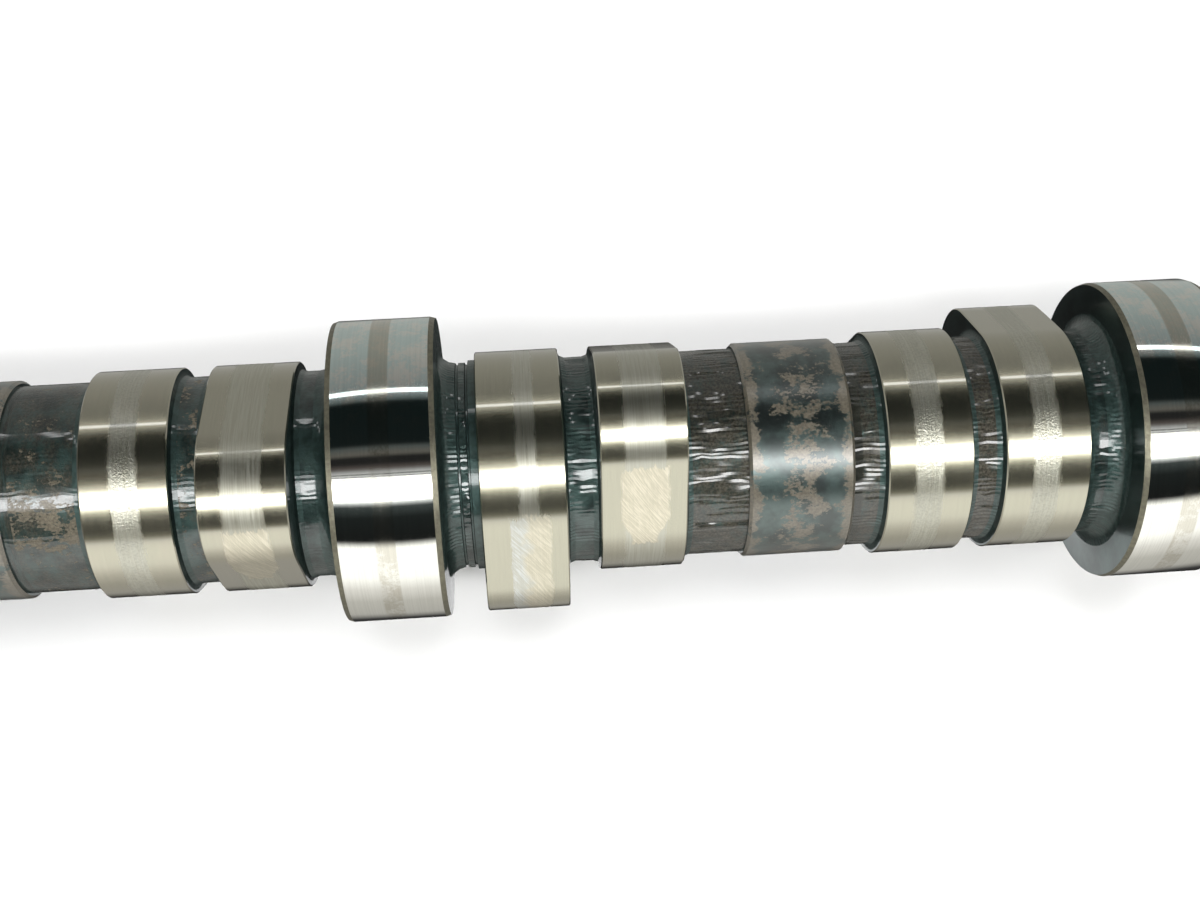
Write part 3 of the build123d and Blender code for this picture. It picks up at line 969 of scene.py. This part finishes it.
def make_ground_lobe(finish):
    """Ground steel with a worn track, a scuffed flank and a thin brown film."""
    material, nodes, shader = start_finish("ground_lobe_steel")
    across, cosine, sine = read_vector(nodes, PLACE)
    centre, half, dull = read_vector(nodes, TRACK)
    seed, patch, stain = read_vector(nodes, MARKS)
    patch_turn, patch_half_turn, patch_half = read_vector(nodes, PATCH)
    turn = nodes.math("ARCTAN2", sine, cosine)
    lines = nodes.group("Grinding lines", line_width=0.12, line_length=9.0, seed=seed)[0]
    streaks = nodes.group("Grinding lines", line_width=0.25, line_length=8.0, seed=seed)[0]
    pits = nodes.group("Grain", size=0.4, seed=seed)[0]
    scratches = nodes.group("Scratches", turn=turn, slant=SCRATCH_SLANT, line_width=0.22, line_length=3.5,
                            seed=seed)[0]
    track, scuff = nodes.group("Wear track", across=across, turn=turn, centre=centre, half_width=half,
                               patch_turn=patch_turn, patch_half_turn=patch_half_turn,
                               patch_half_width=patch_half, ragged=WEAR_RAGGEDNESS, seed=seed)
    film = nodes.group("Flakes", size=7.0, cover=0.5, stretch=0.5, softness=0.14, seed=seed)[0]
    tone = nodes.group("Grain", size=5.0, seed=seed)[0]

    scuffed = nodes.math("MULTIPLY", scuff, patch)
    track = nodes.math("MULTIPLY", track, nodes.math("SUBTRACT", 1.0, scuffed))
    pitted = nodes.math("MULTIPLY", track, nodes.step(patch, *PITTED_BELOW, 1.0, 0.0))
    spots = nodes.math("MULTIPLY", pitted, nodes.step(pits, low=0.45, high=0.6))
    worn = nodes.math("MULTIPLY", track, nodes.between(streaks, *LINE_COVER))
    colour = nodes.blend(nodes.math("MULTIPLY", film, nodes.math("MULTIPLY", stain, STAIN_TINT)),
                         finish.lobe_steel, finish.stain)
    colour = nodes.blend(nodes.math("MULTIPLY", worn, TRACK_TINT), colour, finish.worn_steel)
    cool_side = nodes.step(nodes.math("MULTIPLY_ADD", across, COOL_SLOPE, tone), *COOL_SIDE, 1.0, 0.0)
    cool = nodes.math("MULTIPLY", nodes.step(patch_half_turn, *COOL_HALF_TURN), cool_side)
    bright = nodes.blend(cool, finish.scuffed_steel, finish.cool_scuff)
    colour = nodes.blend(nodes.math("MULTIPLY", scuffed, nodes.between(scratches, *LINE_COVER)), colour,
                         bright)
    colour = nodes.scaled(colour, nodes.between(lines, *LINE_SHADES))
    colour = nodes.scaled(colour, nodes.between(spots, 1.0, PIT_SHADE))
    rough = nodes.between(lines, *LOBE_ROUGHNESS)
    rough = nodes.math("MULTIPLY_ADD", worn, nodes.between(dull, *TRACK_DULLING), rough)
    rough = nodes.math("MULTIPLY_ADD", scuffed, SCUFF_DULLING, rough)
    normal = raised(nodes, nodes.math("MULTIPLY", pits, pitted), PIT_DEPTH)
    normal = raised(nodes, nodes.math("MULTIPLY", scratches, scuffed), SCRATCH_DEPTH, normal)
    clear = nodes.math("SUBTRACT", 1.0, nodes.math("MAXIMUM", scuffed, nodes.math("MULTIPLY", worn, dull)))
    set_surface(nodes, shader, base_color=colour, metallic=1.0, roughness=rough, normal=normal,
                coat_weight=clear, **LOBE_SHINE)
    return material


JOURNAL_ROUGHNESS = (0.03, 0.08)            # between and on the hair lines
STRIPE_DULLING = 0.05
STRIPE_EDGE, STRIPE_TINT = (-0.02, 0.03), 0.6
UPPER_SIDE = (-0.2, 0.3)                    # sine of the turn where the blue film, partly painted shade of this upper side, starts and is full
# How strongly the blue film tints and darkens the upper side, which paints shade there
BLUE_FILM_AND_SHADE_TINT = 0.7
LOWER_STRIPE = (0.2, 0.8)                   # how faint and how strong the patchy lower stripe is
JOURNAL_LINE_DEPTH = 0.001 * MM


def make_polished_journal(finish):
    """Mirror-polished steel with fine lines, a brown stripe round it and a blue film on its upper side,
    which is partly a tint and partly painted shade.
    """
    material, nodes, shader = start_finish("polished_journal_steel")
    across, _, sine = read_vector(nodes, PLACE)
    centre, half, dull = read_vector(nodes, TRACK)
    seed = read_vector(nodes, MARKS)[0]
    lines = nodes.group("Grinding lines", line_width=0.3, line_length=30.0, seed=seed)[0]
    hairs = nodes.group("Grinding lines", line_width=0.09, line_length=14.0, seed=seed)[0]
    film = nodes.group("Flakes", size=4.0, cover=0.52, stretch=0.8, softness=0.07, seed=seed)[0]
    away = nodes.math("ABSOLUTE", nodes.math("SUBTRACT", across, centre))
    upper = nodes.step(sine, *UPPER_SIDE)
    patchy = nodes.math("MAXIMUM", upper, nodes.between(film, *LOWER_STRIPE))
    stripe = nodes.math("MULTIPLY", nodes.step(nodes.math("SUBTRACT", half, away), *STRIPE_EDGE), dull)
    stripe = nodes.math("MULTIPLY", stripe, patchy)
    # Painted shade: the darker, patchy blue film is laid only on the upper side
    colour = nodes.blend(nodes.math("MULTIPLY", film, nodes.math("MULTIPLY", upper, BLUE_FILM_AND_SHADE_TINT)),
                         finish.journal_steel, finish.blue_film_and_top_shade)
    colour = nodes.blend(nodes.math("MULTIPLY", stripe, STRIPE_TINT), colour, finish.stain)
    colour = nodes.scaled(colour, nodes.between(lines, *LINE_SHADES))
    rough = nodes.math("MULTIPLY_ADD", stripe, STRIPE_DULLING, nodes.between(hairs, *JOURNAL_ROUGHNESS))
    set_surface(nodes, shader, base_color=colour, metallic=1.0, roughness=rough,
                normal=raised(nodes, lines, JOURNAL_LINE_DEPTH))
    return material


RIM_SHARE, RIM_FILM_TINT, RIM_METALLIC = 0.45, 0.5, 0.9
RIM_ROUGHNESS, RIM_GRAIN_DEPTH = (0.3, 0.5), 0.05 * MM


def make_journal_rim(finish):
    """Turned bevel of a journal's rim, rough and grained."""
    material, nodes, shader = start_finish("journal_rim_steel")
    grain = nodes.group("Grain", size=0.35, seed=3.0)[0]
    flakes = nodes.group("Flakes", size=0.9, cover=0.5, stretch=1.0, softness=0.08, seed=5.0)[0]
    colour = nodes.blend(nodes.math("MULTIPLY", flakes, RIM_FILM_TINT),
                         darker(finish.lobe_steel, RIM_SHARE), finish.brown_film)
    set_surface(nodes, shader, base_color=colour, metallic=RIM_METALLIC,
                roughness=nodes.step(grain, 0.2, 0.8, *RIM_ROUGHNESS),
                normal=raised(nodes, grain, RIM_GRAIN_DEPTH))
    return material


# Share of its light that each colour keeps where it is darkest
DARK_OXIDE, DARK_FILM, DARK_FLAKE = 0.35, 0.35, 0.65
OXIDE_METALLIC, FLAKE_METALLIC = 0.95, 0.60
FILM_DULLING = 0.06                         # roughness that a brown film or a flake adds
OIL_IOR = 1.9


def bare_oxide(nodes, finish, seed, size, share):
    """Colour of bare oxide, which drifts between a share of its light and all of it."""
    tone = nodes.group("Grain", size=size, seed=seed)[0]
    return nodes.blend(nodes.step(tone, low=0.35, high=0.65), darker(finish.oxide, share), finish.oxide)


def flaked_oxide(nodes, finish, seed, flakes, film=None):
    """Colour of oxide under speckled tan flakes, and under a brown film where there is one."""
    colour = bare_oxide(nodes, finish, seed, size=5.0, share=DARK_OXIDE)
    fine = nodes.group("Grain", size=0.45, seed=seed)[0]
    if film is not None:
        brown = nodes.blend(nodes.step(fine, low=0.3, high=0.7), darker(finish.brown_film, DARK_FILM),
                            finish.brown_film)
        colour = nodes.blend(film, colour, brown)
    tan = nodes.blend(nodes.step(fine, low=0.35, high=0.65), darker(finish.varnish, DARK_FLAKE),
                      finish.varnish)
    return nodes.blend(flakes, colour, tan)


def set_oxide(nodes, shader, colour, roughness, normal, oil, oil_roughness, metallic=OXIDE_METALLIC):
    """Surface of oxide under oil, which covers it by a share from 0 to 1."""
    set_surface(nodes, shader, base_color=colour, metallic=metallic, roughness=roughness, normal=normal,
                coat_weight=oil, coat_roughness=oil_roughness, coat_ior=OIL_IOR)


CASTING_ROUGHNESS, CASTING_GRAIN_DEPTH = 0.5, 0.09 * MM
FLAKE_HEIGHT, LUMP_HEIGHT = 0.3, 1.8        # heights on the casting, in heights of its grain
CASTING_OIL, FLAKE_OIL = 0.8, 0.2           # cover of the oil between and on the flakes
PATCH_FADE = (1.0, 0.3)                     # where a flaked patch ends and is full, in half turns


def make_raw_casting(finish):
    """Raw casting between the ground lands: wet oxide with brown film and flakes."""
    material, nodes, shader = start_finish("raw_casting_oxide")
    seed, film_cover, flake_cover = read_vector(nodes, MARKS)
    _, cosine, sine = read_vector(nodes, PLACE)
    patch_turn, patch_half_turn, added = read_vector(nodes, PATCH)
    away = nodes.math("ABSOLUTE", nodes.math("SUBTRACT", nodes.math("ARCTAN2", sine, cosine), patch_turn))
    near = nodes.step(nodes.math("DIVIDE", away, patch_half_turn), *PATCH_FADE)
    flake_cover = nodes.math("MULTIPLY_ADD", near, added, flake_cover)
    film = nodes.group("Flakes", size=3.0, cover=film_cover, stretch=0.7, softness=0.16, seed=seed)[0]
    flakes = nodes.group("Flakes", size=3.0, cover=flake_cover, stretch=1.3, softness=0.012, seed=seed)[0]
    grain = nodes.group("Grain", size=0.35, seed=seed)[0]
    lumps = nodes.group("Grain", size=1.3, seed=seed)[0]
    height = nodes.math("MULTIPLY_ADD", flakes, FLAKE_HEIGHT,
                        nodes.math("MULTIPLY_ADD", lumps, LUMP_HEIGHT, grain))
    colour = flaked_oxide(nodes, finish, seed, flakes, film)
    rough = nodes.math("MULTIPLY_ADD", film, FILM_DULLING, CASTING_ROUGHNESS)
    rough = nodes.math("MULTIPLY_ADD", flakes, FILM_DULLING, rough)
    set_oxide(nodes, shader, colour, rough, raised(nodes, height, CASTING_GRAIN_DEPTH),
              oil=nodes.between(flakes, CASTING_OIL, FLAKE_OIL), oil_roughness=0.09,
              metallic=nodes.between(flakes, OXIDE_METALLIC, FLAKE_METALLIC))
    return material


ROOT_DARK, ROOT_ROUGHNESS = 0.7, 0.5
ROOT_GRAIN_DEPTH = 0.13 * MM


def make_cast_root(finish):
    """Rounded roots, grooves and steps of the casting: dark oxide with pooled oil."""
    material, nodes, shader = start_finish("cast_root_oxide")
    seed = read_vector(nodes, MARKS)[0]
    grain = nodes.group("Grain", size=0.8, seed=seed)[0]
    set_oxide(nodes, shader, bare_oxide(nodes, finish, seed, size=1.5, share=ROOT_DARK), ROOT_ROUGHNESS,
              raised(nodes, grain, ROOT_GRAIN_DEPTH), oil=0.5, oil_roughness=0.06)
    return material


# Flakes of a collar: where its edges and its middle start and are full, and the cover that they give
COLLAR_EDGES, EDGE_COVER = (0.7, 1.0), (0.0, 0.15)
COLLAR_MIDDLE, MIDDLE_COVER = (0.6, 0.15), (0.41, 0.51)
COLLAR_FLAKE_HEIGHT, COLLAR_STREAK_HEIGHT = 0.5, 0.4
COLLAR_ROUGHNESS, COLLAR_GRAIN_DEPTH = 0.36, 0.02 * MM
COLLAR_SHADES = (1.2, 1.0)                  # light of a collar's bare oxide and of its flakes


def make_turned_collar(finish):
    """Plain collar: smooth blue oxide with tan flakes along both edges and down its middle."""
    material, nodes, shader = start_finish("turned_collar_oxide")
    seed = read_vector(nodes, MARKS)[0]
    across = nodes.math("ABSOLUTE", read_vector(nodes, PLACE)[0])
    cover = nodes.math("ADD", nodes.step(across, *COLLAR_EDGES, *EDGE_COVER),
                       nodes.step(across, *COLLAR_MIDDLE, *MIDDLE_COVER))
    flakes = nodes.group("Flakes", size=3.2, cover=cover, stretch=1.4, softness=0.01, seed=seed)[0]
    streaks = nodes.group("Grinding lines", line_width=0.6, line_length=6.0, seed=seed)[0]
    grain = nodes.group("Grain", size=0.3, seed=seed)[0]
    height = nodes.math("MULTIPLY_ADD", flakes, COLLAR_FLAKE_HEIGHT,
                        nodes.math("MULTIPLY_ADD", streaks, COLLAR_STREAK_HEIGHT, grain))
    colour = flaked_oxide(nodes, finish, seed, flakes)
    colour = nodes.scaled(colour, nodes.between(flakes, *COLLAR_SHADES))
    rough = nodes.math("MULTIPLY_ADD", flakes, FILM_DULLING, COLLAR_ROUGHNESS)
    set_oxide(nodes, shader, colour, rough, raised(nodes, height, COLLAR_GRAIN_DEPTH),
              oil=1.0, oil_roughness=0.28,
              metallic=nodes.between(flakes, OXIDE_METALLIC, FLAKE_METALLIC))
    return material


FACE_DARK, FACE_ROUGHNESS = 0.5, 0.28
FACE_GRAIN_DEPTH = 0.006 * MM


def make_side_face(finish):
    """Side faces of lobes and journals: smooth, nearly black oxide."""
    material, nodes, shader = start_finish("side_face_oxide")
    tone = nodes.group("Grain", size=8.0, seed=2.0)[0]
    grain = nodes.group("Grain", size=0.3, seed=4.0)[0]
    colour = nodes.blend(nodes.step(tone, low=0.3, high=0.7), darker(finish.oxide, FACE_DARK), finish.oxide)
    set_oxide(nodes, shader, colour, FACE_ROUGHNESS, raised(nodes, grain, FACE_GRAIN_DEPTH),
              oil=0.2, oil_roughness=0.1)
    return material


END_ROUGHNESS, END_STAIN_TINT = (0.2, 0.3), 0.35
END_LINE_DEPTH = 0.004 * MM


def make_turned_end(finish):
    """Bright turned steel of the ends, the gear seat and the holes."""
    material, nodes, shader = start_finish("turned_end_steel")
    lines = nodes.group("Grinding lines", line_width=0.25, line_length=20.0, seed=12.0)[0]
    film = nodes.group("Flakes", size=6.0, cover=0.45, stretch=1.0, softness=0.15, seed=14.0)[0]
    colour = nodes.blend(nodes.math("MULTIPLY", film, END_STAIN_TINT), finish.lobe_steel, finish.stain)
    set_surface(nodes, shader, base_color=colour, metallic=1.0,
                roughness=nodes.between(lines, *END_ROUGHNESS), normal=raised(nodes, lines, END_LINE_DEPTH))
    return material


def make_finishes(finish):
    """The shared groups, then the materials in the order of the skin's finishes."""
    for make_group in (make_grinding_group, make_scratch_group, make_track_group, make_flake_group,
                       make_grain_group):
        make_group()
    makers = {LOBE: make_ground_lobe, JOURNAL: make_polished_journal, RIM: make_journal_rim,
              CASTING: make_raw_casting, COLLAR: make_turned_collar, ROOT: make_cast_root,
              FACE: make_side_face, END: make_turned_end}
    return [makers[slot](finish) for slot in sorted(makers)]


# ---------------------------------------------------------------- stage


def ring_share(angle):
    """Place of an angle in degrees on the sky's colour ramp."""
    return angle / 360 + 0.5


def make_sky():
    """World of long soft boxes beside the shaft and plain light past its ends."""
    world = bpy.data.worlds.new("studio_sky")
    world.use_nodes = True
    nodes = Nodes(world.node_tree)
    place = nodes.split(nodes.add("ShaderNodeTexCoord").outputs["Generated"])
    turn = nodes.math("ARCTAN2", place[1], place[2])
    ramp = nodes.add("ShaderNodeValToRGB", {0: nodes.math("MULTIPLY_ADD", turn, 0.5 / math.pi, 0.5)})
    stops = ramp.color_ramp.elements
    while len(stops) < len(SKY):
        stops.new(0.5)
    for stop, (angle, light, tint) in zip(stops, SKY):
        stop.position = ring_share(angle)
        stop.color = (*(light * part for part in tint), 1.0)
    wave = nodes.math("SINE", nodes.math("MULTIPLY", turn, 2 * math.pi / math.radians(RUNG_STEP)))
    middle, half = (math.radians(angle) for angle in RUNGS)
    reach = nodes.math("ABSOLUTE", nodes.math("SUBTRACT", turn, middle))
    rung = nodes.math("MULTIPLY", nodes.step(wave, 0.0, RUNG_EDGE),
                      nodes.step(reach, RUNG_FADE * half, half, 1.0, 0.0))
    light = nodes.scaled(ramp.outputs[0], nodes.between(rung, 1.0, 1.0 - RUNG_DARKNESS))
    end = nodes.step(nodes.math("ABSOLUTE", place[0]), *END_LIGHT_RANGE)
    light = nodes.blend(end, light, END_LIGHT)
    background = nodes.add("ShaderNodeBackground", {"Color": light})
    output = nodes.add("ShaderNodeOutputWorld")
    nodes.tree.links.new(background.outputs[0], output.inputs["Surface"])
    bpy.context.scene.world = world


def stage_piece(name, points, faces):
    """A mesh object of the stage."""
    mesh = bpy.data.meshes.new(name)
    mesh.from_pydata(points, [], faces)
    piece = bpy.data.objects.new(name, mesh)
    bpy.context.scene.collection.objects.link(piece)
    return piece


def make_floor(stage):
    """Pale floor that the journals lie on. It glows a little, so that only the shadow is grey."""
    half, level = stage.floor_size / 2, CAD_BOX[0][2]
    corners = [(x, y, level) for x, y in ((-half, -half), (half, -half), (half, half), (-half, half))]
    floor = stage_piece("floor", corners, [(0, 1, 2, 3)])
    material, nodes, shader = start_finish("pale_floor")
    path = nodes.add("ShaderNodeLightPath").outputs
    seen = nodes.math("MAXIMUM", path["Is Camera Ray"], path["Is Glossy Ray"])
    seen = nodes.math("MAXIMUM", seen, path["Is Transmission Ray"])
    set_surface(nodes, shader, base_color=tuple(stage.floor_colour), roughness=1.0, specular_ior_level=0.0,
                emission_color=nodes.blend(seen, (0.0, 0.0, 0.0), (1.0, 1.0, 1.0)),
                emission_strength=stage.floor_glow)
    floor.data.materials.append(material)
    floor.visible_glossy = False


def make_backdrop(stage):
    """White wall round the floor, which only the camera sees."""
    radius, low = stage.floor_size / 2 * BACKDROP_SHARE, CAD_BOX[0][2]
    turns = [2 * math.pi * side / BACKDROP_SIDES for side in range(BACKDROP_SIDES)]
    points = [(radius * math.cos(turn), radius * math.sin(turn), z)
              for z in (low, low + stage.backdrop_height) for turn in turns]
    faces = [(side, (side + 1) % BACKDROP_SIDES, BACKDROP_SIDES + (side + 1) % BACKDROP_SIDES,
              BACKDROP_SIDES + side) for side in range(BACKDROP_SIDES)]
    backdrop = stage_piece("backdrop", points, faces)
    material, nodes, shader = start_finish("white_backdrop")
    set_surface(nodes, shader, base_color=(0.0, 0.0, 0.0), roughness=1.0, specular_ior_level=0.0,
                emission_color=(1.0, 1.0, 1.0), emission_strength=1.0)
    backdrop.data.materials.append(material)
    backdrop.visible_glossy = backdrop.visible_diffuse = backdrop.visible_shadow = False


class CAMSHAFT_OT_build_stage(bpy.types.Operator):
    """Sets the floor, the backdrop, the soft light and the camera"""

    bl_idname = "camshaft.build_stage"
    bl_label = "Build stage"

    def execute(self, context):
        stage = context.scene.camshaft_stage
        make_sky()
        make_floor(stage)
        make_backdrop(stage)
        light = bpy.data.lights.new("broad_lamp", "SUN")
        light.energy, light.angle = stage.lamp_strength, stage.lamp_spread
        lamp = bpy.data.objects.new("broad_lamp", light)
        lamp.rotation_euler = (-stage.lamp_tilt, 0, 0)
        lamp.visible_glossy = False
        camera = bpy.data.objects.new("camera", bpy.data.cameras.new("camera"))
        camera.location, camera.rotation_euler = stage.camera_place, stage.camera_turn
        camera.data.lens = stage.lens
        camera.data.clip_start = CAMERA_CLIP
        for piece in (lamp, camera):
            context.scene.collection.objects.link(piece)
        context.scene.camera = camera
        context.scene.view_settings.view_transform = "Standard"
        return {"FINISHED"}


class CAMSHAFT_PT_sidebar(bpy.types.Panel):
    """Lists the steps that build the camshaft and the values that they use"""

    bl_idname = "CAMSHAFT_PT_sidebar"
    bl_label = "Camshaft"
    bl_space_type = "VIEW_3D"
    bl_region_type = "UI"
    bl_category = "Camshaft"

    def draw(self, context):
        for operator in OPERATORS:
            self.layout.operator(operator.bl_idname)
        for name, kind in GROUPS.items():
            box = self.layout.box()
            settings = getattr(context.scene, name)
            for key in kind.__annotations__:
                box.prop(settings, key)


OPERATORS = (CAMSHAFT_OT_build_shaft, CAMSHAFT_OT_build_stage)
GROUPS = {"camshaft_sizes": CamshaftSizes, "camshaft_finish": CamshaftFinish,
          "camshaft_stage": CamshaftStage}


def register():
    for kind in (*GROUPS.values(), *OPERATORS, CAMSHAFT_PT_sidebar):
        bpy.utils.register_class(kind)
    for name, kind in GROUPS.items():
        setattr(bpy.types.Scene, name, PointerProperty(type=kind))


def unregister():
    for name in GROUPS:
        delattr(bpy.types.Scene, name)
    for kind in reversed((*GROUPS.values(), *OPERATORS, CAMSHAFT_PT_sidebar)):
        bpy.utils.unregister_class(kind)


def main():
    register()
    bpy.ops.camshaft.build_shaft()
    bpy.ops.camshaft.build_stage()


if __name__ == "__main__":
    main()
